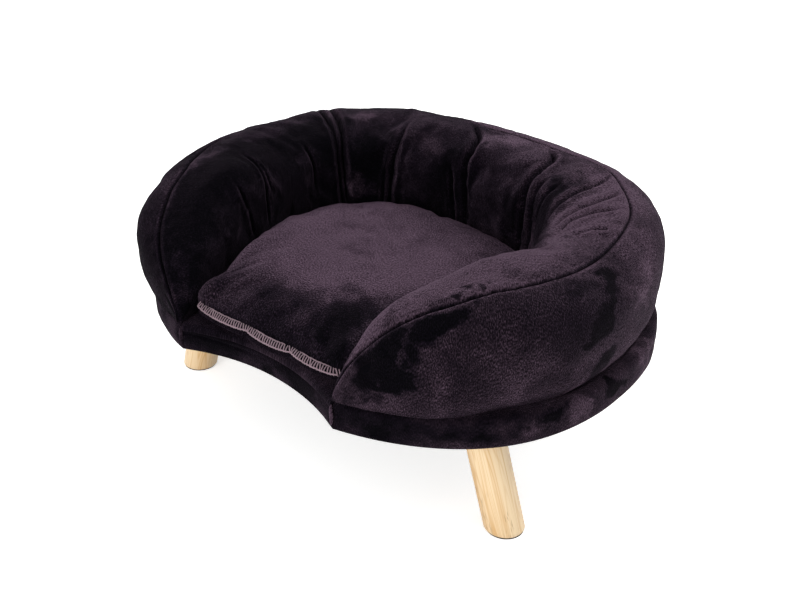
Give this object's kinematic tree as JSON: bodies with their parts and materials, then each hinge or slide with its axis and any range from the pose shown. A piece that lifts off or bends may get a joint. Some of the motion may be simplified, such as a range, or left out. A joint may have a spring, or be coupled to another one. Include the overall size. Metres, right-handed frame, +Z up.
{
  "type": "dog sofa bed",
  "caption": "Raised sofa bed for a small dog: oval plush base with a scooped front on splayed round wooden legs, horseshoe bolster and loose seat cushion.",
  "frame": {"origin": "on the floor under the centre of the whole bed's bounding box", "axes": "+X is the long way, to the right when the bed is seen from its open front; +Y towards the high back; +Z up"},
  "size_m": [0.7036, 0.5577, 0.3368],
  "materials": {
    "plush": "dark plum short-pile plush with a crushed nap",
    "seat_plush": "plum short-pile plush, worn lighter on top",
    "overlock_thread": "mauve overlock stitching over raw pile",
    "wadding": "white polyester fibre",
    "foam": "cream upholstery foam",
    "dust_cloth": "black spun-bonded cloth",
    "pine": "clear satin lacquer on pale pine",
    "plywood": "bare plywood",
    "foot_pad": "matt black",
    "steel": "zinc-plated steel",
    "zip_tape": "dark woven tape",
    "zip_teeth": "dark moulded teeth",
    "zip_metal": "plated zinc alloy"
  },
  "bodies": {
    "frame": {"base_board": "plywood", "base_foam": "foam", "base_wadding": "wadding", "base_top_panel": "plush", "base_side_band": "plush", "base_front_band": "plush", "base_hem": "plush", "dust_cover": "dust_cloth", "cover_staples": "steel", "leg_front_left": "pine", "leg_front_right": "pine", "leg_rear_left": "pine", "leg_rear_right": "pine", "foot_pad_front_left": "foot_pad", "foot_pad_front_right": "foot_pad", "foot_pad_rear_left": "foot_pad", "foot_pad_rear_right": "foot_pad", "hanger_bolt_front_left": "steel", "hanger_bolt_front_right": "steel", "hanger_bolt_rear_left": "steel", "hanger_bolt_rear_right": "steel", "tee_nut_front_left": "steel", "tee_nut_front_right": "steel", "tee_nut_rear_left": "steel", "tee_nut_rear_right": "steel", "bolster_outer_panel": "plush", "bolster_inner_panel": "plush", "bolster_fill": "wadding"},
    "cushion": {"cushion_top_panel": "seat_plush", "cushion_bottom_panel": "seat_plush", "cushion_fill": "wadding", "cushion_overlock_edge": "overlock_thread", "zip_tape_front": "zip_tape", "zip_tape_rear": "zip_tape", "zip_chain_front": "zip_teeth", "zip_chain_rear": "zip_teeth", "zip_stops": "zip_metal"},
    "zip_runner": {"zip_slider": "zip_metal", "zip_pull": "zip_metal"}
  },
  "joints": [
    {"name": "cushion_lift", "type": "slide", "parent": "frame", "child": "cushion", "axis": [0, 0, 1], "range_m": [0, 0.2]},
    {"name": "zip_slide", "type": "slide", "parent": "cushion", "child": "zip_runner", "axis": [-1, 0, 0], "range_m": [0, 0.228]}
  ]
}
